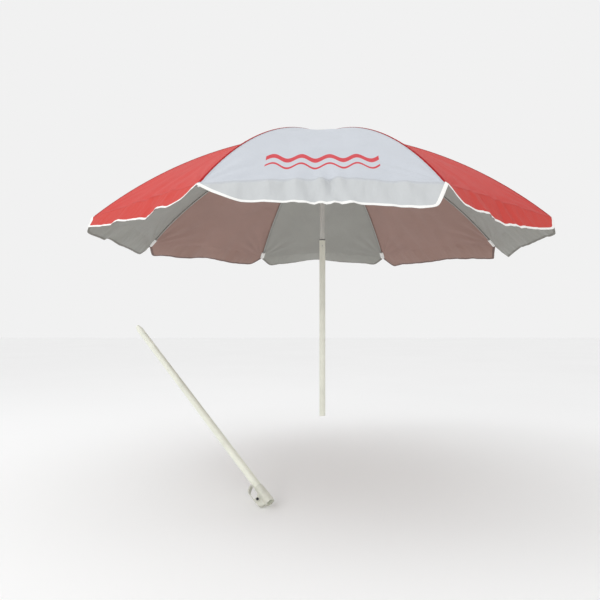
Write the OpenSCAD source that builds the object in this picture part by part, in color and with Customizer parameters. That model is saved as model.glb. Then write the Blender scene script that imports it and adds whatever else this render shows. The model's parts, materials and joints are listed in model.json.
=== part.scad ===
// Beach umbrella: an eight-rib canopy on a two-stage upper pole, with its runner
// and stretchers, and the separate lower pole with a lever clamp that it plugs into.
// Millimetres, +Z up. The origin is the centre of the upper pole's lower end.

/* [Upper pole] */
// Outside diameter of the main tube
main_d = 25; // [24.6:0.1:25.2]
// Length of the main tube
main_length = 742; // [700:780]
// Outside diameter of the thin tube above it
thin_d = 19; // [18.8:0.1:19.2]
// Wall of the pole's tubes
pole_wall = 1.2; // [1:0.1:1.4]

/* [Canopy frame] */
// Height of the rib hinges
crown_z = 1184; // [1170:1200]
// Radius of the circle of hinges, on the hub and on the runner
hinge_r = 22; // [21.5:0.1:23]
// Diameter of a rib
rib_d = 5; // [4.6:0.1:5.2]
// Radius of the rib's inner bend
inner_bend = 1607; // [1590:1625]
// Radius of the rib's outer bend
outer_bend = 1661; // [1640:1680]
// Slope of the rib at the hub
slope_hub = 8; // [7:0.5:9]
// Slope of the rib where its two bends meet
slope_mid = 21.3; // [20.8:0.1:21.8]
// Slope of the rib at its tip
slope_tip = 42.3; // [41:0.1:43]
// Distance of a stretcher's pin below its rib
bracket_drop = 8.2; // [8:0.1:9]

/* [Cloth] */
// Height of the cloth's top face over a rib's centre
cloth_rise = 5.2; // [5:0.1:6]
// Thickness of the cloth solids
cloth_t = 1; // [0.8:0.1:1.2]
// Sag of a gore at its middle
gore_sag = 13; // [8:18]
// How far the middle of a gore's rim is drawn up towards the hub
rim_draw = 46; // [30:55]
// Slope of the valance below the rim
valance_slope = 51; // [48:56]
// Drop of the valance at its corners
valance_corner = 76; // [60:80]
// Drop of the valance at its middle
valance_middle = 95; // [80:100]

/* [Lower pole] */
// Outside diameter of the lower tube
lower_d = 28; // [27.8:0.1:28.4]
// Bore of the lower tube, which takes the main tube
lower_bore = 25.6; // [25.4:0.1:25.8]
// Length from its mouth to its tip
lower_length = 1142; // [1100:1200]
// Centre of its mouth where it lies beside the umbrella
lower_place = [-182, -439, -230];
// Lean from vertical and heading of the way from its mouth to its tip
lower_lean = [57.726, 134.916];
// Turn about its own length, which points the clamp's ears
lower_roll = 46.46; // [40:50]

/* [Hidden] */
$fn = 64;
RIBS = 8;
gore_angle = 360 / RIBS;
ribs = [1:RIBS];

running = 0.05;         // radial clearance of a turning fit
seat = 0.05;            // radial clearance of a fixed fit
pin_r = 1.5;
main_r = main_d / 2;
thin_r = thin_d / 2;
main_bore = main_r - pole_wall;
thin_bore = thin_r - 1;
thin_start = main_length - 52;
thin_top = crown_z + 2;

// The rib's middle line, as distance from the pole's axis and drop below the hinge
bend_1 = [hinge_r - inner_bend * sin(slope_hub), -inner_bend * cos(slope_hub)];
mid_point = bend_1 + inner_bend * [sin(slope_mid), cos(slope_mid)];
bend_2 = mid_point - outer_bend * [sin(slope_mid), cos(slope_mid)];
tip_point = bend_2 + outer_bend * [sin(slope_tip), cos(slope_tip)];

// The stretcher's pin on the rib, and the runner's pin, one straight below the hinge
rib_pin = mid_point - bracket_drop * [sin(slope_mid), cos(slope_mid)];
runner_pin = [hinge_r, 2 * rib_pin[1]];
runner_z = crown_z + runner_pin[1];
stretch_length = norm(rib_pin - runner_pin);
stretch_slope = atan2(rib_pin[1] - runner_pin[1], rib_pin[0] - runner_pin[0]);

hub_r = 30;
hub_slot_r = 16.4;
slot_w = 6.4;
eye_w = 6;
eye_r = 4.4;
fork_gap = 5.6;
link_w = 5;
link_d = 4.8;
rib_tip_r = 3.3;

function rib_heading(i) = -90 + gore_angle * (i - 0.5);
function gore_heading(i) = -90 + gore_angle * i;

// Places geometry drawn in the XZ plane of one rib: X outwards, Z up from the hinge height
module at_rib(i) { rotate([0, 0, rib_heading(i)]) translate([0, 0, crown_z]) children(); }

// A bar or pin along Y, centred on a point of the rib's plane
module across(p, r, w) {
    translate([p[0], 0, p[1]]) rotate([90, 0, 0]) cylinder(h = w, r = r, center = true);
}

// A slab in the rib's plane, centred on Y
module slab(points, w) {
    rotate([90, 0, 0]) translate([0, 0, -w / 2]) linear_extrude(height = w) polygon(points);
}

module tube(h, r_out, r_in) {
    difference() {
        cylinder(h = h, r = r_out);
        translate([0, 0, -1]) cylinder(h = h + 2, r = r_in);
    }
}

// ---- Upper pole

module rivet_hole() {
    translate([0, 0, main_length - 24]) rotate([90, 0, 0]) cylinder(h = 60, r = 2.5 + seat, center = true);
}

module main_tube() {
    color("ivory") difference() {
        tube(main_length, main_r, main_bore);
        rivet_hole();
    }
}

module upper_tube() {
    color("ivory") difference() {
        translate([0, 0, thin_start]) tube(thin_top - thin_start, thin_r, thin_bore);
        rivet_hole();
    }
}

// Plastic bush that fills the step between the two tubes, with a thin collar on top
module reducer_bush() {
    color("dimgray") difference() {
        union() {
            translate([0, 0, thin_start - 4]) cylinder(h = main_length - thin_start + 4, r = main_bore - seat);
            translate([0, 0, main_length]) cylinder(h = 3.5, r = main_r - 0.4);
        }
        translate([0, 0, thin_start]) cylinder(h = 80, r = thin_r + seat);
        translate([0, 0, thin_start - 5]) cylinder(h = 6, r = thin_bore);
        rivet_hole();
    }
}

// Rivet set flush, so that the tube can slide right through the runner
module joint_rivet() {
    color("silver") translate([0, 0, main_length - 24]) rotate([90, 0, 0]) difference() {
        cylinder(h = main_d - 0.6, r = 2.5, center = true);
        for (side = [-1, 1]) translate([0, 0, side * main_r]) cylinder(h = 1.8, r = 1, center = true);
    }
}

module foot_plug() {
    color("dimgray") difference() {
        translate([0, 0, 0.5]) cylinder(h = 24, r = main_bore - seat);
        translate([0, 0, 3]) cylinder(h = 30, r = main_bore - 2.4);
        cylinder(h = 10, r = 2.5, center = true);
    }
}

// Sleeve on the thin tube: it guides the raised runner, and its collar stops it
module stop_sleeve() {
    color("dimgray") translate([0, 0, runner_z - 48]) difference() {
        union() {
            cylinder(h = 64, r = main_r - 0.4);
            translate([0, 0, 64]) cylinder(h = 8, r = 15.5);
        }
        translate([0, 0, -1]) cylinder(h = 80, r = thin_r + seat);
    }
}

// ---- Crown

module crown_hub() {
    top = 6;
    web = 4.7;
    color("whitesmoke") difference() {
        union() {
            translate([0, 0, crown_z - 9]) cylinder(h = 9 + top, r = hub_r - 4);
            translate([0, 0, crown_z - 9]) cylinder(h = 12, r = hub_r);
            translate([0, 0, crown_z - 34]) cylinder(h = 26, r = 14);
        }
        translate([0, 0, crown_z - 40]) cylinder(h = 40 + 2.2, r = thin_r + seat);
        translate([0, 0, crown_z - 5]) cylinder(h = 20, r = 2.1);
        for (i = ribs) at_rib(i) {
            translate([hub_slot_r, -slot_w / 2, -20]) cube([30, slot_w, 20 + web]);
            across([hinge_r, 0], pin_r + seat, 15);
        }
    }
}

module crown_pins() {
    color("silver") for (i = ribs) at_rib(i) across([hinge_r, 0], pin_r, 14.6);
}

// Low domed cap that holds the middle of the cloth
module crown_cap() {
    color("whitesmoke") difference() {
        translate([0, 0, crown_z + 9.6]) rotate_extrude() polygon(concat(
            [[2.3, 0], [40, -1.5], [41, -0.5], [40.5, 1.5]],
            [for (a = [10:10:80]) [3.8 + 36.7 * cos(a), 1.5 + 12 * sin(a)]],
            [[3.8, 13.5], [2.3, 13.5]]
        ));
        translate([0, 0, crown_z + 19]) cylinder(h = 6, r = 5);
    }
}

module crown_screw() {
    color("silver") difference() {
        union() {
            translate([0, 0, crown_z + 3]) cylinder(h = 18, r = 1.9);
            translate([0, 0, crown_z + 19.1]) cylinder(h = 3, r = 4.4);
        }
        translate([0, 0, crown_z + 20.9]) for (a = [0, 90]) rotate([0, 0, a]) translate([-3, -0.5, 0]) cube([6, 1, 3]);
    }
}

// ---- Ribs

// Part of a ring in the XZ plane, between two slopes
module bend(centre, radius, from, to, r) {
    translate([centre[0], 0, centre[1]]) rotate([90, 0, 0]) rotate([0, 0, 90 - to])
        rotate_extrude(angle = to - from, $fn = 96) translate([radius, 0]) circle(r = r, $fn = 32);
}

module rib(i) {
    start = 13 / inner_bend * 180 / PI;
    neck = bend_1 + inner_bend * [sin(slope_hub + start), cos(slope_hub + start)];
    color("darkgray") at_rib(i) difference() {
        union() {
            across([hinge_r, 0], eye_r, eye_w);
            slab([
                [hinge_r, 3], [hinge_r, -3],
                neck + [5 - 3 * sin(slope_hub), -3.4], neck + [5 + 3 * sin(slope_hub), 2.4]
            ], eye_w);
            bend(bend_1, inner_bend, slope_hub + start, slope_mid, rib_d / 2);
            bend(bend_2, outer_bend, slope_mid, slope_tip, rib_d / 2);
        }
        across([hinge_r, 0], pin_r + running, 20);
    }
}

// Riveted clip on the rib, with its fixed pin between two cheeks
module rib_bracket(i) {
    color("silver") at_rib(i) translate([mid_point[0], 0, mid_point[1]]) rotate([0, slope_mid, 0]) {
        difference() {
            union() {
                translate([-11, -5, -12.4]) cube([22, 10, 11.6]);
                rotate([0, 90, 0]) cylinder(h = 22, r = 3.4, center = true);
            }
            rotate([0, 90, 0]) cylinder(h = 60, r = rib_d / 2 + 0.12, center = true);
            translate([-12, -fork_gap / 2, -14]) cube([24, fork_gap, 10.8]);
        }
        translate([0, 0, -bracket_drop]) rotate([90, 0, 0]) cylinder(h = 12.4, r = pin_r, center = true);
    }
}

module rib_tip(i) {
    color("dimgray") at_rib(i) translate([tip_point[0], 0, tip_point[1]]) rotate([0, 90 + slope_tip, 0])
        difference() {
            union() {
                translate([0, 0, -14]) cylinder(h = 14.5, r = rib_tip_r);
                translate([0, 0, 0.5]) sphere(r = rib_tip_r);
            }
            translate([0, 0, -20]) cylinder(h = 20.1, r = rib_d / 2 + 0.12);
        }
}

module stretcher(i) {
    color("darkgray") at_rib(i) translate([runner_pin[0], 0, runner_pin[1]]) rotate([0, -stretch_slope, 0])
        difference() {
            union() {
                across([0, 0], eye_r, link_w);
                across([stretch_length, 0], eye_r - 0.6, link_w);
                translate([14, 0, 0]) rotate([0, 90, 0]) cylinder(h = stretch_length - 28, r = link_d / 2);
                for (x = [2.4, stretch_length - 17]) translate([x, -link_w / 2, -2.6]) cube([14.6, link_w, 5.2]);
            }
            for (x = [0, stretch_length]) across([x, 0], pin_r + running, 20);
        }
}

// ---- Runner

module runner() {
    color("whitesmoke") difference() {
        union() {
            translate([0, 0, runner_z - 10]) cylinder(h = 15, r = hub_r);
            translate([0, 0, runner_z - 46]) cylinder(h = 36.5, r = 18);
            translate([0, 12, runner_z - 30]) rotate([-90, 0, 0]) cylinder(h = 13, r = 7);
        }
        translate([0, 0, runner_z - 60]) cylinder(h = 80, r = main_r + 0.6);
        translate([0, 0, runner_z - 30]) rotate([-90, 0, 0]) cylinder(h = 40, r = 3 + running);
        for (i = ribs) at_rib(i) translate([0, 0, runner_pin[1]]) {
            translate([hub_slot_r + 0.4, -fork_gap / 2, -5.6]) cube([30, fork_gap, 20]);
            across([hinge_r, 0], pin_r + seat, 15);
        }
    }
}

module runner_pins() {
    color("silver") for (i = ribs) at_rib(i) across(runner_pin, pin_r, 14.6);
}

// Thumb screw that bears on the sleeve and locks the runner
module runner_knob() {
    color("dimgray") translate([0, 0, runner_z - 30]) rotate([-90, 0, 0]) {
        translate([0, 0, 13]) cylinder(h = 14, r = 3);
        translate([0, 0, 26]) difference() {
            cylinder(h = 11, r = 11);
            for (a = [0:60:300]) rotate([0, 0, a]) translate([13, 0, -1]) cylinder(h = 13, r = 4, $fn = 32);
        }
    }
}

// ---- Cloth: one gore between two ribs, from the crown to the hem of its valance

meridian_steps = 13;
gore_steps = 12;
cloth_start = 26;
arc_1 = inner_bend * (slope_mid - slope_hub) * PI / 180;
arc_2 = outer_bend * (slope_tip - slope_mid) * PI / 180;
crown_rise = 8.7;

// Slope and place of the rib's line at a length along it
function slope_at(s) = s < arc_1
    ? slope_hub + s / inner_bend * 180 / PI
    : slope_mid + (s - arc_1) / outer_bend * 180 / PI;
function line_at(s) = s < arc_1
    ? bend_1 + inner_bend * [sin(slope_at(s)), cos(slope_at(s))]
    : bend_2 + outer_bend * [sin(slope_at(s)), cos(slope_at(s))];

// Place of the cloth's top face: s along the rib, v across the gore from -1 to 1
function rise_at(s) = cloth_rise + (crown_rise - cloth_rise) * max(0, 1 - s / 70);
function sag_at(s) = gore_sag * sin(min(90, s / 5));
function gore_point(s, v, in) = let (
    slope = slope_at(s),
    lift = rise_at(s) - sag_at(s) * (1 - v * v) - in,
    p = line_at(s) + lift * [sin(slope), cos(slope)],
    edge = gore_angle / 2 - 0.3 / max(p[0], 1) * 180 / PI,
    turn = edge * v,
    far = p[0] * cos(gore_angle / 2) / cos(turn)
) [far * cos(turn), far * sin(turn), p[1]];

function rim_s(v) = arc_1 + arc_2 + 4 - rim_draw * (1 - v * v);
function hem_drop(v) = let (
    corner = 0.83, a = abs(v)
) a > corner
    ? 5 + (valance_corner - 5) * (1 - a) / (1 - corner)
    : valance_corner + (valance_middle - valance_corner) * (1 - (a / corner) * (a / corner));

function valance_point(share, v, in) = let (
    rim = gore_point(rim_s(v), v, in),
    heading = gore_angle / 2 * v,
    d = share * hem_drop(v),
    out = d * cos(valance_slope)
) rim + [out * cos(heading), out * sin(heading), -d * sin(valance_slope)];

function cloth_row(k, in) = [for (j = [0:gore_steps]) let (v = 2 * j / gore_steps - 1)
    k < meridian_steps
        ? gore_point(4 + (rim_s(v) - 4) * k / (meridian_steps - 1), v, in)
        : valance_point(k == meridian_steps ? 0.5 : 1, v, in)];

module gore(i) {
    rows = meridian_steps + 2;
    cols = gore_steps + 1;
    top = [for (k = [0:rows - 1]) each cloth_row(k, 0)];
    under = [for (k = [0:rows - 1]) each cloth_row(k, cloth_t)];
    n = rows * cols;
    quads = [for (k = [0:rows - 2]) for (j = [0:cols - 2]) [k * cols + j, k * cols + j + 1]];
    sheet_up = [for (q = quads) each [[q[0], q[1] + cols, q[0] + cols], [q[0], q[1], q[1] + cols]]];
    sheet_down = [for (q = quads) each [
        [n + q[0], n + q[0] + cols, n + q[1] + cols], [n + q[0], n + q[1] + cols, n + q[1]]]];
    rim_loop = concat(
        [for (j = [0:cols - 1]) j],
        [for (k = [1:rows - 1]) k * cols + cols - 1],
        [for (j = [cols - 2:-1:0]) (rows - 1) * cols + j],
        [for (k = [rows - 2:-1:1]) k * cols]
    );
    m = len(rim_loop);
    border = [for (e = [0:m - 1]) let (a = rim_loop[e], b = rim_loop[(e + 1) % m])
        each [[a, n + a, n + b], [a, n + b, b]]];
    color(i % 2 == 0 ? "white" : "tomato") translate([0, 0, crown_z]) rotate([0, 0, gore_heading(i)])
        polyhedron(points = concat(top, under), faces = concat(sheet_up, sheet_down, border));
}

// ---- Lower pole, drawn from its mouth at the origin to its tip along +Z

tip_h = 46;
collar_h = 75;
collar_r = 17;
bolt_x = 27;
bolt_z = 33;
bolt_r = 3;
ear_gap = 3;
ear_t = 6;
lever_w = 22;
neck_r = lower_d / 2 - 0.3;
plug_h = 30;
plug_r = lower_bore / 2 - 0.6;

module place_lower() {
    translate(lower_place) rotate([0, lower_lean[0], lower_lean[1]]) rotate([0, 0, lower_roll]) children();
}

// The tube is drawn down a little where the collar sits on it
module lower_tube() {
    color("ivory") place_lower() difference() {
        union() {
            cylinder(h = collar_h + 4, r = neck_r);
            translate([0, 0, collar_h + 3]) cylinder(h = lower_length - tip_h - collar_h - 3, r = lower_d / 2);
        }
        translate([0, 0, -1]) cylinder(h = lower_length - tip_h - plug_h + 1, r = lower_bore / 2);
        cylinder(h = lower_length, r = plug_r + seat);
    }
}

// Rounded plug that is pushed into the sand
module ground_tip() {
    round_r = 10;
    r = lower_d / 2;
    color("ivory") place_lower() translate([0, 0, lower_length - tip_h]) rotate_extrude() polygon(concat(
        [[0, -plug_h], [plug_r, -plug_h], [plug_r, 0], [r, 0]],
        [[r, tip_h - 3 * round_r], [r - 4, tip_h - round_r]],
        [for (a = [0:15:90]) [r - 4 - round_r + round_r * cos(a), tip_h - round_r + round_r * sin(a)]],
        [[0, tip_h]]
    ));
}

// Split collar with two ears, flared at the mouth
module clamp_collar() {
    ear_top = bolt_z + 13;
    color("lightgray") place_lower() difference() {
        union() {
            rotate_extrude() polygon([
                [lower_bore / 2 + 0.1, -2.5], [collar_r - 0.6, -2.5], [collar_r, -1.9], [collar_r, 30],
                [collar_r - 1.6, collar_h - 2.2], [collar_r - 2.2, collar_h - 0.4], [lower_bore / 2 + 0.1, collar_h - 0.4]
            ]);
            for (side = [-1, 1]) translate([0, side * (ear_gap + ear_t) / 2, 0]) {
                slab([[14, 2], [27, 4], [35, 9], [38.5, 15], [38.5, bolt_z], [bolt_x, bolt_z + 11.5],
                    [14, ear_top + 6]], ear_t);
                across([bolt_x, bolt_z], 11.5, ear_t);
            }
        }
        cylinder(h = 3 * collar_h, r = neck_r + seat);
        translate([0, 0, -5]) cylinder(h = 5.01, r = lower_bore / 2 + 0.4);
        translate([8, -ear_gap / 2, -5]) cube([40, ear_gap, ear_top + 16]);
        across([bolt_x, bolt_z], bolt_r + seat, 60);
    }
}

// Socket-headed bolt whose head faces the same way as the open side of the lever
module clamp_bolt() {
    reach = lever_w / 2 + 0.3;
    head_r = 4.8;
    color("dimgray") place_lower() translate([bolt_x, 0, bolt_z]) rotate([90, 0, 0]) difference() {
        union() {
            translate([0, 0, -reach - 0.5]) cylinder(h = 2 * reach + 5, r = bolt_r);
            translate([0, 0, -reach - 3]) cylinder(h = 3, r = head_r);
        }
        translate([0, 0, -reach - 4]) cylinder(h = 3, r = 2.6, $fn = 6);
    }
}

module clamp_nut() {
    reach = lever_w / 2 + 0.3;
    color("silver") place_lower() translate([bolt_x, 0, bolt_z]) rotate([90, 0, 0])
        translate([0, 0, reach]) difference() {
            cylinder(h = 4.4, r = 6.4, $fn = 6);
            translate([0, 0, -1]) cylinder(h = 8, r = bolt_r + seat);
        }
}

// Lever bent into a D: two cheeks on the bolt, and a strap that comes back to the tube
module clamp_lever() {
    t = 3.2;
    outer = [[31, 27.5], [37.5, 30], [40.5, 37], [41, 74], [37, 83], [28, 90.5], [16.8, 97]];
    inner = [[16.2, 92.6], [26, 87], [34.4, 80.3], [37.6, 72.6], [37.5, 44], [33, 40], [27, 39], [20.8, 35], [21, 29], [25, 26.6]];
    color("dimgray") place_lower() difference() {
        union() {
            slab(concat(outer, inner), lever_w);
            across([bolt_x, bolt_z], 8.2, lever_w);
        }
        slab([[0, 0], [60, 0], [60, 40.2], [37.5, 52], [0, 52]], ear_gap + 2 * ear_t + 1);
        across([bolt_x, bolt_z], bolt_r + running, 60);
    }
}

main_tube();
upper_tube();
reducer_bush();
joint_rivet();
foot_plug();
crown_hub();
crown_pins();
crown_cap();
crown_screw();
stop_sleeve();
runner();
runner_pins();
runner_knob();
lower_tube();
ground_tip();
clamp_collar();
clamp_bolt();
clamp_nut();
clamp_lever();
for (i = ribs) {
    rib(i);
    rib_bracket(i);
    rib_tip(i);
    stretcher(i);
    gore(i);
}
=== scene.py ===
"""Looks of the beach umbrella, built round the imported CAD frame. Metres, +Z up."""
import json
import math

import bmesh
import bpy
import numpy as np
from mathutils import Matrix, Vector, noise


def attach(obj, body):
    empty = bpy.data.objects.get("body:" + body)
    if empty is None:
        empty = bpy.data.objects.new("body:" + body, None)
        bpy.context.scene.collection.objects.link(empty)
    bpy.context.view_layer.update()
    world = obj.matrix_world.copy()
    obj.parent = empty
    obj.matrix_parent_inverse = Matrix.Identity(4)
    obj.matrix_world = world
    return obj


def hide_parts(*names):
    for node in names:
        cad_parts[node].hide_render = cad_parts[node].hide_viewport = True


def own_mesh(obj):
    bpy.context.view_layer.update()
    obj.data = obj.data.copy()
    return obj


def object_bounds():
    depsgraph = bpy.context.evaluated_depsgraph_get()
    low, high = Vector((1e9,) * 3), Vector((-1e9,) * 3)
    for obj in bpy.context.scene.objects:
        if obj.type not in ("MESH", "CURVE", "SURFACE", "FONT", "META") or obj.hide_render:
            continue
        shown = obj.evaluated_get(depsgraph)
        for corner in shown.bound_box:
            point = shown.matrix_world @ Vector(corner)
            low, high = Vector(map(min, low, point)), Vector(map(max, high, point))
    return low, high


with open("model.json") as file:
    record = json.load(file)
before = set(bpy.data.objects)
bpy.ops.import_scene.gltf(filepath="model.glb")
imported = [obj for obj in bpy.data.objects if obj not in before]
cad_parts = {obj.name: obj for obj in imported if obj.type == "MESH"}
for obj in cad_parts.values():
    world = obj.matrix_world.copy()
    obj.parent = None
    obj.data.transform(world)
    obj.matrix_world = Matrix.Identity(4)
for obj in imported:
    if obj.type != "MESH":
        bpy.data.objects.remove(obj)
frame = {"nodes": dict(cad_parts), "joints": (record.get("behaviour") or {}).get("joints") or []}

cad_box = [list(corner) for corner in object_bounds()]

# ---------------------------------------------------------------- driving sizes

RIBS = 8
GORE = math.radians(360 / RIBS)
HALF_GORE = GORE / 2
SIN_HALF = math.sin(HALF_GORE)
HINGE_R = 0.022
CROWN_Z = frame["joints"][0]["pos_m"][2]
# each rib is two arcs: their radii, and the slopes at the hub, the bracket and the tip
INNER_BEND, OUTER_BEND = 1.607, 1.661
SLOPE_HUB, SLOPE_MID, SLOPE_TIP = (math.radians(a) for a in (8, 21.3, 42.3))
ARC_1 = INNER_BEND * (SLOPE_MID - SLOPE_HUB)
ARC_2 = OUTER_BEND * (SLOPE_TIP - SLOPE_MID)
RIB_LENGTH = ARC_1 + ARC_2

# cloth over the ribs: its rise over their centre line, its thickness, how far a gore's
# middle sags below its seams, and how far the rim's middle is drawn in
CLOTH_RISE, CROWN_RISE = 0.0052, 0.0087
CLOTH_T = 0.0007
GORE_SAG = 0.013
RIM_DRAW = 0.046
VALANCE_SLOPE = 51
VALANCE_MIDDLE, VALANCE_CORNER = 0.095, 0.076
CLOTH_START = 0.004
RIM_EXTRA = 0.004
TAPE_W, TAPE_T = 0.0075, 0.0003
SEAM_HALF, SEAM_RISE = 0.0045, 0.0009
BODY_ROWS, VALANCE_ROWS, HALF_COLS = 84, 16, 38

# the distance from a rib's plane at which each half gore is cut into a piece beside the rib and a
# middle piece
NEAR_RIB = 0.09


def gore_heading(g):
    """Heading of the middle of gore g."""
    return -math.pi / 2 + GORE * g


def rib_heading(i):
    """Heading of rib i, between gores i - 1 and i."""
    return -math.pi / 2 + GORE * (i - 0.5)


# ---------------------------------------------------------------- materials

class Nodes:
    """Short calls that add nodes to one material."""

    def __init__(self, name):
        self.material = bpy.data.materials.new(name)
        self.material.use_nodes = True
        self.tree = self.material.node_tree
        self.shader = self.tree.nodes["Principled BSDF"]

    def add(self, kind, links=None, **values):
        node = self.tree.nodes.new(kind)
        for key, value in values.items():
            setattr(node, key, value)
        for key, value in (links or {}).items():
            socket = node.inputs[key]
            if isinstance(value, bpy.types.NodeSocket):
                self.tree.links.new(value, socket)
            else:
                socket.default_value = value
        return node

    def math(self, operation, a, b=0.0, c=0.0):
        return self.add("ShaderNodeMath", {0: a, 1: b, 2: c}, operation=operation).outputs[0]

    def coords(self, kind="Object"):
        return self.add("ShaderNodeTexCoord").outputs[kind]

    def noise(self, vector, scale, detail=3.0, roughness=0.5):
        return self.add("ShaderNodeTexNoise", {
            "Vector": vector, "Scale": scale, "Detail": detail,
            "Roughness": roughness}).outputs["Fac"]

    def stretched(self, vector, scale):
        """The vector scaled on each axis."""
        return self.add("ShaderNodeMapping", {"Vector": vector, "Scale": scale}).outputs[0]

    def split(self, vector):
        node = self.add("ShaderNodeSeparateXYZ", {"Vector": vector})
        return node.outputs["X"], node.outputs["Y"], node.outputs["Z"]

    def away(self, value, centre):
        """How far a value is from a centre."""
        return self.math("ABSOLUTE", self.math("SUBTRACT", value, centre))

    def ramp(self, fac, stops):
        node = self.add("ShaderNodeValToRGB", {"Fac": fac})
        elements = node.color_ramp.elements
        while len(elements) < len(stops):
            elements.new(0.5)
        for element, (place, colour) in zip(elements, stops):
            element.position = place
            element.color = (*colour, 1)
        return node.outputs["Color"]

    def span(self, value, low, high, to_low=0.0, to_high=1.0):
        return self.add("ShaderNodeMapRange", {
            "Value": value, "From Min": low, "From Max": high,
            "To Min": to_low, "To Max": to_high}).outputs["Result"]

    def mix(self, fac, a, b, blend="MIX"):
        node = self.add("ShaderNodeMix", data_type="RGBA", blend_type=blend)
        for socket, value in zip([node.inputs[0], node.inputs[6], node.inputs[7]], [fac, a, b]):
            if isinstance(value, bpy.types.NodeSocket):
                self.tree.links.new(value, socket)
            else:
                socket.default_value = value if isinstance(value, float) else (*value, 1)
        return node.outputs[2]

    def bump(self, height, distance, strength=1.0, normal=None):
        links = {"Height": height, "Distance": distance, "Strength": strength}
        if normal is not None:
            links["Normal"] = normal
        return self.add("ShaderNodeBump", links).outputs["Normal"]

    def finish(self, colour=None, roughness=None, normal=None, **constants):
        named = {"Base Color": colour, "Roughness": roughness, "Normal": normal}
        for key, value in named.items():
            if isinstance(value, bpy.types.NodeSocket):
                self.tree.links.new(value, self.shader.inputs[key])
            elif value is not None:
                self.shader.inputs[key].default_value = (
                    (*value, 1) if key == "Base Color" else value)
        for key, value in constants.items():
            self.shader.inputs[key.replace("_", " ")].default_value = value
        return self.material


def shade(colour, factor):
    return tuple(min(1, c * factor) for c in colour)


def weave(n, uv, period):
    """Height of a plain weave whose threads are period apart."""
    x, y = (n.add("ShaderNodeTexWave", {"Vector": uv, "Scale": 2 * math.pi / (20 * period)},
                  wave_type="BANDS", bands_direction=way).outputs["Fac"] for way in "XY")
    return n.math("MULTIPLY", x, y)


def seam_detail(n, across, along, height, tone, colour):
    """Felled seam beside the rib: a raised band with two rows of stitches, the band a little
    darker and the sunk stitch rows darkened with painted shade.
    """
    on_seam = n.span(across, 0.0105, 0.0095)
    rows = n.math("MAXIMUM", *(n.span(n.away(across, place), 0.0007, 0.0003)
                               for place in (0.0028, 0.0085)))
    dash = n.span(n.math("PINGPONG", along, 0.0018), 0.0003, 0.0006)
    stitch = n.math("MULTIPLY", rows, dash)
    height = n.math("ADD", height, n.math("MULTIPLY", on_seam, 2.0))
    height = n.math("SUBTRACT", height, n.math("MULTIPLY", rows, 1.2))
    height = n.math("ADD", height, n.math("MULTIPLY", stitch, 1.8))
    # the seam band is tinted a little darker, and the sunk stitch rows are darkened as painted
    # shade
    tone = n.mix(n.math("MULTIPLY", on_seam, 0.10), tone, shade(colour, 0.7))
    tone = n.mix(n.math("MULTIPLY", rows, 0.35), tone, shade(colour, 0.55))
    return height, tone


def rim_detail(n, normal, tone, colour, hang, fold):
    """Crease at the rim, darkened with painted shade, and the slack cloth of the valance that
    hangs below it, tinted warmer with painted light.
    """
    aside, below, _ = n.split(n.add("ShaderNodeUVMap", uv_map="Drop").outputs["UV"])
    hanging = n.span(below, -0.004, 0.010)
    crease = n.span(n.math("ABSOLUTE", below), 0.007, 0.0)
    wander = n.add("ShaderNodeCombineXYZ", {"X": n.math("MULTIPLY", aside, 15.0),
                                            "Y": n.math("MULTIPLY", below, 5.0)}).outputs[0]
    crumple = n.math("SUBTRACT", n.noise(wander, 1.0, 2.0, 0.45), 0.5)
    normal = n.bump(n.math("MULTIPLY", crumple, hanging), 0.026, 0.6, normal)
    normal = n.bump(crease, 0.016 * fold, 0.5, normal)
    # painted light: the valance is tinted warmer, standing in for the warmer light it catches
    # below the rim
    valance_lit_colour = tuple(c * w for c, w in zip(colour, VALANCE_LIGHT_TINT))
    tone = n.mix(n.math("MULTIPLY", hanging, hang), tone, valance_lit_colour)
    # painted shade: the cloth is darkened along the rim's crease, as strongly as fold sets
    tone = n.mix(n.math("MULTIPLY", crease, fold), tone, shade(colour, 0.45))
    return normal, tone


def cloth(name, colour, vary=0.05, seam=True, motif=None, roughness=0.62, sheen=0.06,
          specular=0.3, hang=0.55, fold=0.16):
    """Coated polyester: UV is metres across from the rib seam and metres along it.

    hang is how much of the valance's painted warmer light shows, and fold how strong the rim's
    crease is, in its bump and its painted shade.
    """
    n = Nodes(name)
    uv = n.coords("UV")
    place = n.coords("Object")
    across, along, _ = n.split(uv)
    cloudy = n.noise(place, 7.0, 4.0, 0.55)
    slub = n.noise(n.stretched(uv, (60, 900, 1)), 1.0, 2.0)
    fac = n.math("ADD", n.math("MULTIPLY", cloudy, 0.7), n.math("MULTIPLY", slub, 0.3))
    tone = n.ramp(fac, [(0.3, shade(colour, 1 - vary)), (0.7, shade(colour, 1 + vary))])
    height = n.math("MULTIPLY", weave(n, uv, 0.0011), 0.5)
    normal = n.bump(n.noise(place, 13.0, 4.0, 0.55), 0.0065, 0.5)
    if seam:
        height, tone = seam_detail(n, across, along, height, tone, colour)
        normal, tone = rim_detail(n, normal, tone, colour, hang, fold)
    if motif:
        tone = motif(n, place, tone)
    normal = n.bump(height, 0.00025, 0.6, normal)
    rough = n.span(fac, 0.3, 0.7, roughness - 0.06, roughness + 0.08)
    return n.finish(tone, rough, normal, Sheen_Weight=sheen, Sheen_Roughness=0.5,
                    Specular_IOR_Level=specular)


def wave_motif(n, place, tone):
    """Two plain wavy lines printed in red, a heavy one over a fine one."""
    x, _, z = n.split(place)
    wave = n.math("SINE", n.math("MULTIPLY", x, 2 * math.pi / MOTIF_WAVE))
    swing = n.math("MULTIPLY", wave, MOTIF_SWING)
    inside = n.span(n.math("ABSOLUTE", x), MOTIF_REACH + 0.0005, MOTIF_REACH - 0.0005)
    for centre, half in ((MOTIF_Z, 0.0095), (MOTIF_Z - MOTIF_GAP, 0.0040)):
        gap = n.away(n.math("SUBTRACT", z, swing), centre)
        line = n.math("MULTIPLY", n.span(gap, half + 0.0006, half - 0.0006), inside)
        tone = n.mix(line, tone, PRINT_RED)
    return tone


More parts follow.
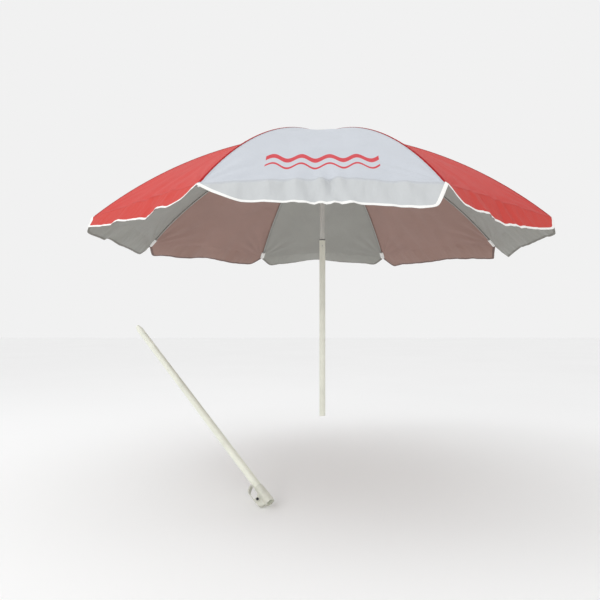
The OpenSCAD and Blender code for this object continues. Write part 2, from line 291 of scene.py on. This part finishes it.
def paint(name, colour, wear_colour, roughness=0.35):
    """Powder coat over steel tube, with faint orange peel and lengthwise rubs."""
    n = Nodes(name)
    place = n.coords("Object")
    rubs = n.noise(n.stretched(place, (90, 90, 4)), 1.0, 5.0, 0.6)
    cloudy = n.noise(place, 14.0, 3.0)
    peel = n.noise(place, 900.0, 2.0)
    tone = n.ramp(cloudy, [(0.3, shade(colour, 0.93)), (0.7, shade(colour, 1.05))])
    tone = n.mix(n.span(rubs, 0.62, 0.8, 0.0, 0.5), tone, wear_colour)
    rough = n.span(rubs, 0.3, 0.8, roughness - 0.06, roughness + 0.18)
    return n.finish(tone, rough, n.bump(peel, 0.00012, 0.35), Coat_Weight=0.15,
                    Coat_Roughness=0.3)


def plastic(name, colour, roughness=0.45):
    """Moulded plastic with a fine grain and scattered scuffs."""
    n = Nodes(name)
    place = n.coords("Object")
    cloudy = n.noise(place, 40.0, 3.0)
    grains = n.noise(place, 600.0, 2.0)
    marks = n.noise(place, 160.0, 6.0, 0.7)
    tone = n.ramp(cloudy, [(0.3, shade(colour, 0.92)), (0.7, shade(colour, 1.06))])
    tone = n.mix(n.span(marks, 0.66, 0.8, 0.0, 0.25), tone, shade(colour, 0.7))
    rough = n.span(marks, 0.3, 0.8, roughness - 0.08, roughness + 0.15)
    return n.finish(tone, rough, n.bump(grains, 0.0002, 0.4))


def metal(name, colour, roughness=0.35):
    """Plated or blackened steel with fine streaks."""
    n = Nodes(name)
    place = n.coords("Object")
    streaks = n.noise(place, 300.0, 4.0)
    cloudy = n.noise(place, 30.0, 3.0)
    tone = n.ramp(cloudy, [(0.3, shade(colour, 0.85)), (0.7, shade(colour, 1.08))])
    rough = n.span(streaks, 0.3, 0.7, roughness - 0.1, roughness + 0.12)
    return n.finish(tone, rough, n.bump(streaks, 0.00008, 0.4), Metallic=1.0)


WHITE_CLOTH, RED_CLOTH = (0.57, 0.60, 0.65), (0.60, 0.070, 0.062)
# linings: the coat's own grey and brownish grey, set darker as painted shade for the shaded
# underside
WHITE_LINING_AND_SHADE, RED_LINING_AND_SHADE = (0.345, 0.345, 0.32), (0.35, 0.222, 0.19)
# the white binding's inner face, painted dark grey and brown as painted shade
TAPE_SHADE_WHITE_GORE, TAPE_SHADE_RED_GORE = (0.24, 0.235, 0.21), (0.20, 0.135, 0.12)
TAPE, SEAM_RED = (0.90, 0.90, 0.88), (0.40, 0.012, 0.014)
PRINT_RED = (0.62, 0.045, 0.06)
# warm tint painted on the valance, standing in for light
VALANCE_LIGHT_TINT = (0.97, 0.94, 0.84)
MOTIF_Z, MOTIF_GAP, MOTIF_REACH = 0.886, 0.034, 0.170
MOTIF_WAVE, MOTIF_SWING = 0.084, 0.011
# the upper tube's coat is greyer than the cream one, and darker too as painted shade for the
# canopy's shadow on it
CREAM, TUBE_GREY_AND_SHADE = (0.83, 0.84, 0.735), (0.65, 0.655, 0.62)

outer_white = cloth("white_polyester", WHITE_CLOTH, 0.03)
outer_motif = cloth("white_polyester_printed", WHITE_CLOTH, 0.03, motif=wave_motif)
outer_red = cloth("red_polyester", RED_CLOTH, 0.05, sheen=0.0, specular=0.12)
LINING = {"vary": 0.06, "roughness": 0.5, "sheen": 0.05, "hang": 0.1, "fold": 0.02}
lining_white_and_shade = cloth("silver_grey_lining", WHITE_LINING_AND_SHADE, **LINING)
lining_red_and_shade = cloth("brown_grey_lining", RED_LINING_AND_SHADE, **LINING)
tape_cloth = cloth("white_binding", TAPE, 0.04, seam=False, roughness=0.7)
# the binding's inner face: white tape coloured with painted shade
tape_shade_white_gore = cloth("grey_hem_inside", TAPE_SHADE_WHITE_GORE, 0.06, seam=False, roughness=0.6)
tape_shade_red_gore = cloth("brown_hem_inside", TAPE_SHADE_RED_GORE, 0.06, seam=False, roughness=0.6)
seam_cloth = cloth("red_seam_tape", SEAM_RED, 0.08, seam=False, sheen=0.0, specular=0.1)

cream_paint = paint("cream_powder_coat", CREAM, (0.45, 0.45, 0.40))
grey_and_shade_paint = paint("pale_grey_coat", TUBE_GREY_AND_SHADE, (0.40, 0.40, 0.38))
rib_paint = paint("grey_rib_lacquer", (0.42, 0.42, 0.40), (0.25, 0.24, 0.22), 0.4)
zinc = metal("zinc_plate", (0.62, 0.62, 0.60), 0.35)
black_bolt = metal("black_oxide", (0.05, 0.05, 0.055), 0.4)
white_plastic = plastic("white_moulding", (0.74, 0.74, 0.70))
clamp_plastic = plastic("cream_moulding", (0.66, 0.66, 0.58), 0.4)
dark_plastic = plastic("dark_moulding", (0.05, 0.05, 0.052), 0.4)
lever_plastic = plastic("lever_moulding", (0.60, 0.60, 0.53), 0.4)

NODE_LOOKS = {
    "main_tube": cream_paint, "upper_tube": grey_and_shade_paint, "lower_tube": cream_paint,
    "ground_tip": cream_paint, "reducer_bush": dark_plastic, "foot_plug": dark_plastic,
    "stop_sleeve": dark_plastic, "joint_rivet": zinc, "crown_pins": zinc, "crown_screw": zinc,
    "runner_pins": zinc, "clamp_nut": zinc, "clamp_bolt": black_bolt, "crown_hub": white_plastic,
    "crown_cap": white_plastic, "runner": white_plastic, "runner_knob": dark_plastic,
    "clamp_collar": clamp_plastic, "clamp_lever": lever_plastic,
}
for i in range(1, RIBS + 1):
    NODE_LOOKS.update({f"rib_{i}": rib_paint, f"stretcher_{i}": rib_paint,
                       f"rib_bracket_{i}": zinc, f"rib_tip_{i}": white_plastic})
for name, material in NODE_LOOKS.items():
    data = frame["nodes"][name].data
    data.materials.clear()
    data.materials.append(material)

# ---------------------------------------------------------------- cloth surface

BEND_1 = np.array([HINGE_R - INNER_BEND * math.sin(SLOPE_HUB), -INNER_BEND * math.cos(SLOPE_HUB)])
MID_POINT = BEND_1 + INNER_BEND * np.array([math.sin(SLOPE_MID), math.cos(SLOPE_MID)])
BEND_2 = MID_POINT - OUTER_BEND * np.array([math.sin(SLOPE_MID), math.cos(SLOPE_MID)])


def rib_line(s):
    """Slope, radius and height over the crown of the rib's line at lengths s along it."""
    first = s < ARC_1
    slope = np.where(first, SLOPE_HUB + s / INNER_BEND, SLOPE_MID + (s - ARC_1) / OUTER_BEND)
    radius = np.where(first, INNER_BEND, OUTER_BEND)
    x = np.where(first, BEND_1[0], BEND_2[0]) + radius * np.sin(slope)
    z = np.where(first, BEND_1[1], BEND_2[1]) + radius * np.cos(slope)
    return slope, x, z


# What sets single gores apart. Cuts are where the hem's corners begin, as shares of the
# half width, and drops are hem heights below the rim, at the corners and in the middle.
# flare is the valance's slope in degrees, at the seams and in the middle. Each fold that
# runs down across the rim is its place, its width and its height.
GORE_SHAPES = {
    1: {"left_drop": 0.074, "right_drop": 0.070, "middle_drop": 0.098, "draw": 0.042,
        "flare": (56, 74),
        "folds": ((-0.55, 0.04, 0.007), (-0.38, 0.03, -0.005), (0.05, 0.04, 0.008),
                  (0.16, 0.03, -0.006), (0.45, 0.05, 0.005))},
    2: {"right_drop": 0.098, "middle_drop": 0.100, "rim_fold": 0.25},
    3: {"left_drop": 0.106, "right_drop": 0.086, "middle_drop": 0.098, "flare": (45, 45),
        "rim_fold": 0.25},
    4: {"middle_drop": 0.084, "flare": (40, 26), "rim_fold": 0.25},
    5: {"left_drop": 0.072, "right_drop": 0.086, "middle_drop": 0.086, "flare": (45, 45),
        "rim_fold": 0.25},
    6: {"rim_fold": 0.25},
    7: {"flare": (51, 60),
        "folds": ((0.5, 0.05, 0.006), (0.1, 0.05, -0.005), (-0.35, 0.06, 0.006))},
    8: {"left_cut": 0.72, "right_cut": 0.86, "left_drop": 0.080, "right_drop": 0.107,
        "middle_drop": 0.094, "right_round": 0.026, "draw": 0.052, "flare": (56, 66),
        "folds": ((-0.24, 0.05, 0.009), (-0.02, 0.04, 0.014), (0.06, 0.03, -0.010),
                  (0.15, 0.04, 0.011), (-0.45, 0.07, 0.006), (0.45, 0.06, 0.005),
                  (0.70, 0.05, 0.006))},
}


class Gore:
    """Shape of gore g, as points at v from -1 to 1 across it and s along its ribs."""

    left_cut, right_cut = 0.83, 0.84
    left_drop, right_drop = VALANCE_CORNER, VALANCE_CORNER
    middle_drop = VALANCE_MIDDLE
    left_round, right_round = 0.012, 0.012
    flare = (VALANCE_SLOPE, VALANCE_SLOPE)
    flutes = 0.0045
    draw = RIM_DRAW
    rim_fold = 1.0
    folds = ()

    def __init__(self, g):
        self.g = g
        self.seed = 17.3 * g
        for name, value in GORE_SHAPES[g].items():
            setattr(self, name, value)

    def noise(self, a, b, salt):
        """Smooth noise from -1 to 1 over arrays a and b."""
        values = [noise.noise(Vector((p, q, self.seed + salt)))
                  for p, q in zip(a.ravel(), b.ravel())]
        return np.array(values).reshape(a.shape)

    def hem(self, v):
        """Drop of the hem below the rim, with rounded corners."""
        cut = np.where(v < 0, self.left_cut, self.right_cut)
        corner = np.where(v < 0, self.left_drop, self.right_drop)
        side = 0.005 + (corner - 0.005) * (1 - np.abs(v)) / (1 - cut) * 1.04
        inward = 1 - np.clip(np.abs(v) / cut, 0, 1.2) ** 2
        bottom = corner + (self.middle_drop - corner) * inward
        round_off = np.where(v < 0, self.left_round, self.right_round)
        return 0.5 * (side + bottom - np.sqrt((side - bottom) ** 2 + round_off ** 2)) + 0.001

    def body(self, s, v, raised=0.0):
        """Points of the gore above the rim, in the gore's own frame with X along its middle."""
        slope, radius, height = rib_line(s)
        rise = CLOTH_RISE + (CROWN_RISE - CLOTH_RISE) * np.clip(1 - s / 0.07, 0, 1)
        sag = GORE_SAG * np.sin(np.minimum(math.pi / 2, s / 0.2865))
        lift = rise - sag * (1 - v * v) + raised + self.creases(s, v)
        x = radius + lift * np.sin(slope)
        z = height + lift * np.cos(slope)
        turn = (HALF_GORE - 0.00015 / np.maximum(x, 0.001)) * v
        far = x * math.cos(HALF_GORE) / np.cos(turn)
        return np.stack([far * np.cos(turn), far * np.sin(turn), z + CROWN_Z], axis=-1)

    def creases(self, s, v):
        """Small height changes: pulls that fan out from the rib tips, puckers, slack."""
        radius = rib_line(s)[1]
        across = (1 - np.abs(v)) * radius * SIN_HALF
        from_tip = np.hypot(across, RIB_LENGTH - s)
        around = np.arctan2(RIB_LENGTH - s, across + 1e-6)
        side = np.where(v < 0, 3.1, 7.7)
        fan = np.sin(around * 15 + side + 2.0 * self.noise(around * 2, side, 1))
        fan = fan * np.exp(-((from_tip - 0.10) / 0.11) ** 2) * 0.0016
        slack = self.noise(s * 5.5, v * radius * 6, 2) * 0.0055 * (1 - v * v)
        slack = slack * np.clip(s / 0.3, 0, 1)
        pucker = np.sin(s * 2 * math.pi / 0.026 + 3 * self.noise(s * 9, v * 0, 3))
        pucker = pucker * 0.0005 * np.exp(-across / 0.016) * np.clip(across / 0.006, 0, 1)
        edge = np.clip(across / 0.02, 0, 1)
        to_rim = self.rim(v) - s
        uneven = 0.75 + 0.5 * self.noise(v * 9, v * 0, 7)
        ridge = 0.0016 * np.exp(-(to_rim / 0.005) ** 2) * uneven
        hollow = -0.0022 * np.exp(-((to_rim - 0.020) / 0.012) ** 2)
        pull = self.fold_heights(v) * np.exp(-np.maximum(to_rim, 0) / 0.05) * 0.5
        height = (fan + slack + self.rim_fold * hollow + pull) * edge
        return height + pucker + self.rim_fold * ridge

    def fold_heights(self, v):
        """Heights of the soft folds that run down across the rim."""
        total = np.zeros_like(v)
        for middle, width, height in self.folds:
            total = total + height * np.exp(-((v - middle) / width) ** 2)
        return total

    def rim(self, v):
        """Length along the rib's line at which the valance begins."""
        return RIB_LENGTH + RIM_EXTRA - self.draw * (1 - v * v)

    def place(self, v, d, lift=0.0):
        """Points d below the rim at v: down the valance, or up the gore where d is negative."""
        above = np.minimum(d, 0)
        below = np.maximum(d, 0)
        at_rim = self.body(self.rim(v) + above, v, np.where(d < 0, lift, 0.0))
        share = below / VALANCE_MIDDLE
        at_seams, in_middle = (math.radians(a) for a in self.flare)
        flare = at_seams + (in_middle - at_seams) * np.cos(v * math.pi / 2) ** 2
        flare = flare + 0.16 * self.noise(v * 2.2, v * 0 + 5, 4) - 0.10 * np.clip(share, 0, 1)
        heading = HALF_GORE * v
        flute = self.noise(v * 6.5, share * 0.7, 5) + 0.5 * self.noise(v * 15, share * 1.2, 6)
        fade = 0.5 + 0.5 * np.cos(math.pi * np.clip(share, 0, 1)) ** 2
        leaning = self.fold_heights(v - 0.10 * share) * fade
        proud = flute * self.flutes * share ** 0.8 + leaning * np.clip(share * 5, 0, 1) * 0.8
        proud = proud + np.where(d < 0, 0.0, lift)
        out = below * np.cos(flare) + proud * np.sin(flare)
        down = below * np.sin(flare) - proud * np.cos(flare)
        shift = np.stack([out * np.cos(heading), out * np.sin(heading), -down], axis=-1)
        return at_rim + shift

    def grid(self):
        """The whole gore: v of its columns, its outer points, and two UV sets in metres.

        The first UV set is across from the seam and along, and the second is across from
        the middle and down from the rim.
        """
        t = np.linspace(-1, 1, 2 * HALF_COLS + 1)
        v = np.sin(t * math.pi / 2) * 0.45 + t * 0.55
        rim = self.rim(v)
        k = np.linspace(0, 1, BODY_ROWS)[:, None]
        k = k + 0.09 * np.sin(k * math.pi) * k ** 3
        s = CLOTH_START + (rim - CLOTH_START) * k
        vv = np.broadcast_to(v, s.shape)
        upper = self.body(s, vv)
        j = np.linspace(0, 1, VALANCE_ROWS + 1)[1:, None] ** 1.25
        d = j * self.hem(v)
        vd = np.broadcast_to(v, d.shape)
        lower = self.place(vd, d)
        points = np.concatenate([upper, lower])
        radius = rib_line(np.concatenate([s, rim + d * 0.6]))[1]
        across = (1 - np.abs(np.concatenate([vv, vd]))) * radius * SIN_HALF
        along = np.concatenate([s, rim + d])
        aside = np.concatenate([vv, vd]) * radius * SIN_HALF
        drop = np.stack([aside, along - rim], axis=-1)
        return v, points, np.stack([across, along], axis=-1), drop


def turned(points, heading):
    """Points turned about Z by a heading."""
    c, s = math.cos(heading), math.sin(heading)
    out = points.copy()
    out[..., 0] = points[..., 0] * c - points[..., 1] * s
    out[..., 1] = points[..., 0] * s + points[..., 1] * c
    return out


def grid_normals(points):
    """Unit normals at the points of a grid."""
    down = np.gradient(points, axis=0)
    side = np.gradient(points, axis=1)
    n = np.cross(down, side)
    return n / np.maximum(np.linalg.norm(n, axis=-1, keepdims=True), 1e-12)


def uv_grid(across, along):
    """UV of a grid whose columns are at across and whose rows are at along."""
    return np.stack(np.broadcast_arrays(across[None, :], along[:, None]), axis=-1)


def sheet_mesh(name, outer, normals, uv, thickness, materials, drop=None, second_from=None):
    """A closed thin sheet from a grid: its outer face, its lining and its edges.

    The outer face takes the second material from the row second_from on.
    """
    rows, cols = outer.shape[:2]
    inner = outer - normals * thickness
    index = np.arange(rows * cols).reshape(rows, cols)
    a, b, c, d = index[:-1, :-1], index[:-1, 1:], index[1:, 1:], index[1:, :-1]
    top = np.stack([a, d, c, b], axis=-1).reshape(-1, 4)
    under = np.stack([a, b, c, d], axis=-1).reshape(-1, 4) + rows * cols
    loop = np.concatenate([index[0, :-1], index[:-1, -1], index[-1, :0:-1], index[:0:-1, 0]])
    points = np.concatenate([outer.reshape(-1, 3), inner.reshape(-1, 3)])
    ring = len(loop)
    base = len(points)
    points = np.concatenate([points, points[loop], points[loop + rows * cols]])
    e = np.arange(ring)
    f = (e + 1) % ring
    edge = np.stack([base + e, base + f, base + ring + f, base + ring + e], axis=-1)
    faces = np.concatenate([top, under, edge])
    around = np.concatenate([index.ravel(), index.ravel(), loop, loop])
    mesh = bpy.data.meshes.new(name)
    mesh.from_pydata(points.tolist(), [], faces.tolist())
    for layer_name, values in (("Cloth", uv), ("Drop", drop)):
        if values is not None:
            layer = mesh.uv_layers.new(name=layer_name)
            spread = values.reshape(-1, 2)[around][faces.ravel()]
            layer.data.foreach_set("uv", spread.astype(np.float32).ravel())
    for material in materials:
        mesh.materials.append(material)
    turn = rows if second_from is None else second_from
    front = np.repeat(np.arange(rows - 1) >= turn, cols - 1)
    slots = np.concatenate([front, np.ones(len(under)), np.zeros(len(edge))])
    mesh.polygons.foreach_set("material_index", slots.astype(np.int32))
    mesh.polygons.foreach_set("use_smooth", np.ones(len(faces), bool))
    mesh.update()
    own = np.zeros(len(points) * 3, np.float32)
    mesh.vertices.foreach_get("normal", own)
    own = own.reshape(-1, 3)
    n = normals.reshape(-1, 3)
    own[:rows * cols] = n
    own[rows * cols:2 * rows * cols] = -n
    mesh.normals_split_custom_set_from_vertices(own.tolist())
    piece = bpy.data.objects.new(name, mesh)
    bpy.context.scene.collection.objects.link(piece)
    return piece


def rib_side(i):
    """Level direction square to the plane of rib i."""
    h = rib_heading(i)
    return Vector((-math.sin(h), math.cos(h), 0))


def with_rib(piece, i):
    """The piece moves with rib i, on a mesh of its own.
    """
    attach(piece, f"rib_arm_{i}")
    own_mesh(piece)


def cut_beside_rib(piece, i, side):
    """Cut a half gore's sheet NEAR_RIB from the plane of rib i.

    Returns the piece that keeps the sheet's name, beside the rib, and the middle piece.
    """
    normal = rib_side(i) * side
    whole, name = piece.data, piece.name
    bpy.data.objects.remove(piece)
    parts = []
    for part_name, middle in ((name, False), (name + "_middle", True)):
        mesh = whole.copy()
        drawn = np.zeros(len(mesh.loops) * 3, np.float32)
        mesh.corner_normals.foreach_get("vector", drawn)
        layer = mesh.attributes.new("drawn_normal", "FLOAT_VECTOR", "CORNER")
        layer.data.foreach_set("vector", drawn)
        cut = bmesh.new()
        cut.from_mesh(mesh)
        bmesh.ops.bisect_plane(cut, geom=cut.verts[:] + cut.edges[:] + cut.faces[:], dist=1e-7,
                               plane_co=normal * NEAR_RIB, plane_no=normal,
                               clear_inner=middle, clear_outer=not middle)
        cut.to_mesh(mesh)
        cut.free()
        layer = mesh.attributes["drawn_normal"]
        drawn = np.zeros(len(mesh.loops) * 3, np.float32)
        layer.data.foreach_get("vector", drawn)
        mesh.attributes.remove(layer)
        mesh.normals_split_custom_set(drawn.reshape(-1, 3).tolist())
        part = bpy.data.objects.new(part_name, mesh)
        bpy.context.scene.collection.objects.link(part)
        parts.append(part)
    bpy.data.meshes.remove(whole)
    return parts


# Binding in section, round the hem: how far in from the hem, in tape widths, and how far
# off the cloth.
TAPE_SECTION = ((1, 0.0005), (0.85, 0.0009), (0.5, 0.0010), (0.15, 0.0010), (-0.08, 0.0006),
                (-0.12, -0.0003), (-0.08, -0.0013), (0.15, -0.0017), (0.5, -0.0017),
                (0.85, -0.0016), (1, -0.0012))
# from this row on, the binding's inner face takes the painted shade colour
TAPE_SHADE_ROW = 5


def tape_grid(gore, v):
    """Binding folded over the hem: rows from its outer edge, round the fold, to its inner."""
    step = 1e-3
    rate = (gore.hem(v + step) - gore.hem(v - step)) / (2 * step)
    width = rib_line(gore.rim(v))[1] * SIN_HALF
    stretch = np.sqrt(1 + (rate / width) ** 2)
    return np.stack([gore.place(v, gore.hem(v) - inset * TAPE_W * stretch, lift)
                     for inset, lift in TAPE_SECTION])


# flat sizes of a half gore's cloth and of its binding, each beside the rib and in the middle
GORE_FLATS = ((0.10, 1.10), (0.27, 0.90))
TAPE_FLATS = ((0.022, 0.15), (0.022, 0.30))
HALVES = (("a", slice(0, HALF_COLS + 1), 0, 1), ("b", slice(HALF_COLS, 2 * HALF_COLS + 1), 1, -1))
GORES = {g: Gore(g) for g in range(1, RIBS + 1)}
for g, gore in GORES.items():
    red = g % 2 == 1
    outside = outer_red if red else (outer_motif if g == 8 else outer_white)
    inside = lining_red_and_shade if red else lining_white_and_shade
    v, points, uv, drop = gore.grid()
    points = turned(points, gore_heading(g))
    normals = grid_normals(points)
    tape = turned(tape_grid(gore, v), gore_heading(g))
    tape_normals = grid_normals(tape)
    for half, columns, ribs_on, side in HALVES:
        rib = (g + ribs_on - 1) % RIBS + 1
        half_gore = sheet_mesh(f"gore_{g}_{half}", points[:, columns], normals[:, columns],
                               uv[:, columns], CLOTH_T, [outside, inside], drop[:, columns])
        strip_uv = uv_grid(uv[-1, columns, 0], np.linspace(0, 2 * TAPE_W, len(tape)))
        half_tape = sheet_mesh(f"binding_{g}_{half}", tape[:, columns], tape_normals[:, columns],
                               strip_uv, TAPE_T, [tape_cloth, tape_shade_red_gore if red else tape_shade_white_gore],
                               second_from=TAPE_SHADE_ROW)
        pairs = zip(cut_beside_rib(half_gore, rib, side), cut_beside_rib(half_tape, rib, side),
                    GORE_FLATS, TAPE_FLATS, (0, side))
        for piece, binding, gore_flat, tape_flat, piece_side in pairs:
            with_rib(piece, rib)
            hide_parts(f"gore_{g}")
            with_rib(binding, rib)


def rib_trim(name, points, uv, thickness, look, i):
    """A small sheet sewn on at rib i."""
    piece = sheet_mesh(name, points, grid_normals(points), uv, thickness, [look, look])
    with_rib(piece, i)


def beside_rib(gore, edge, s, aside):
    """Points on a gore, aside metres in from its edge (-1 or 1), raised for the seam."""
    v = edge * (1 - aside / (rib_line(s)[1] * SIN_HALF))
    return turned(gore.body(s, v, SEAM_RISE), gore_heading(gore.g))


SEAM_PLACES = (SEAM_HALF, SEAM_HALF * 0.55, 0.0006)
for i in range(1, RIBS + 1):
    before, after = GORES[(i - 2) % RIBS + 1], GORES[i]
    s = np.linspace(0.018, RIB_LENGTH - 0.006, 150)
    columns = [beside_rib(before, 1, s, place) for place in SEAM_PLACES]
    columns += [beside_rib(after, -1, s, place) for place in SEAM_PLACES[::-1]]
    seam_uv = uv_grid(np.linspace(0, 2 * SEAM_HALF, len(columns)), s)
    rib_trim(f"seam_{i}", np.stack(columns, axis=1), seam_uv, 0.0004, seam_cloth, i)

# Tip pocket: its section, aside and up from the rib's line, and its rows, each with the
# distance past the rib's end and the size of the section there.
POCKET_SECTION = ((-0.0105, -0.0001), (-0.0078, -0.0012), (-0.0058, -0.0024),
                  (-0.0031, -0.0048), (0, -0.0057), (0.0031, -0.0048),
                  (0.0058, -0.0024), (0.0078, -0.0012), (0.0105, -0.0001))
POCKET_ROWS = ((-0.038, 1), (-0.031, 0.98), (-0.023, 1.01), (-0.015, 0.97), (-0.007, 1),
               (0, 0.98), (0.003, 0.88), (0.0056, 0.64), (0.0072, 0.22))


def pocket_points(i):
    """Cloth pocket under the gores that holds a rib's tip, from its mouth to its end."""
    slope, radius, height = rib_line(RIB_LENGTH + np.array([row[0] for row in POCKET_ROWS]))
    rows = [[(radius[k] + up * scale * math.sin(slope[k]), aside * scale,
              CROWN_Z + height[k] + up * scale * math.cos(slope[k]))
             for aside, up in POCKET_SECTION]
            for k, (_, scale) in enumerate(POCKET_ROWS)]
    return turned(np.array(rows), rib_heading(i))


pocket_uv = uv_grid(np.linspace(0, 0.03, len(POCKET_SECTION)),
                    np.linspace(0, 0.045, len(POCKET_ROWS)))
for i in range(1, RIBS + 1):
    rib_trim(f"tip_pocket_{i}", pocket_points(i), pocket_uv, 0.0006, tape_cloth, i)

# ---------------------------------------------------------------- camera, light, floor

camera = bpy.data.objects.new("camera", bpy.data.cameras.new("camera"))
bpy.context.scene.collection.objects.link(camera)
camera.location = (0, -2.401, 0.3765)
camera.rotation_euler = (math.pi / 2, 0, 0)
camera.data.sensor_width = 36
camera.data.lens = 34.0
camera.data.shift_x, camera.data.shift_y = -0.0373, 0.0447
camera.data.clip_end = 100
bpy.context.scene.camera = camera
bpy.context.scene.view_settings.view_transform = "Standard"


def area_light(name, place, aim, size, power, colour):
    """A soft round light that points at aim."""
    light = bpy.data.objects.new(name, bpy.data.lights.new(name, "AREA"))
    bpy.context.scene.collection.objects.link(light)
    light.location = place
    light.rotation_euler = (Vector(aim) - Vector(place)).to_track_quat("-Z", "Y").to_euler()
    light.data.shape = "DISK"
    light.data.size = size
    light.data.energy = power
    light.data.color = colour


area_light("key", (-2.4, -4.2, 2.0), (0, 0, 0.75), 1.5, 37, (1, 0.985, 0.95))
area_light("fill", (3.6, -2.8, 2.6), (0, 0, 0.8), 2.0, 3, (0.96, 0.98, 1))
area_light("top", (-2.2, -0.7, 3.8), (0, 0, 1), 2.2, 22, (0.93, 0.97, 1))

world = bpy.data.worlds.new("studio")
bpy.context.scene.world = world
world.use_nodes = True
world.node_tree.nodes["Background"].inputs["Color"].default_value = (1, 1, 1, 1)
world.node_tree.nodes["Background"].inputs["Strength"].default_value = 0.88

FLOOR_REACH = 30.0
floor_mesh = bpy.data.meshes.new("floor")
floor_z = cad_box[0][2] - 0.004
floor_mesh.from_pydata([(x * FLOOR_REACH, y * FLOOR_REACH, floor_z)
                        for x, y in ((-1, -1), (1, -1), (1, 1), (-1, 1))], [], [(0, 1, 2, 3)])
floor = bpy.data.objects.new("floor", floor_mesh)
bpy.context.scene.collection.objects.link(floor)
floor_look = Nodes("pale_floor")
floor_tone = floor_look.ramp(floor_look.noise(floor_look.coords("Object"), 0.6, 2.0),
                             [(0.3, (0.955, 0.955, 0.955)), (0.7, (0.97, 0.97, 0.97))])
floor_mesh.materials.append(floor_look.finish(floor_tone, 0.9))
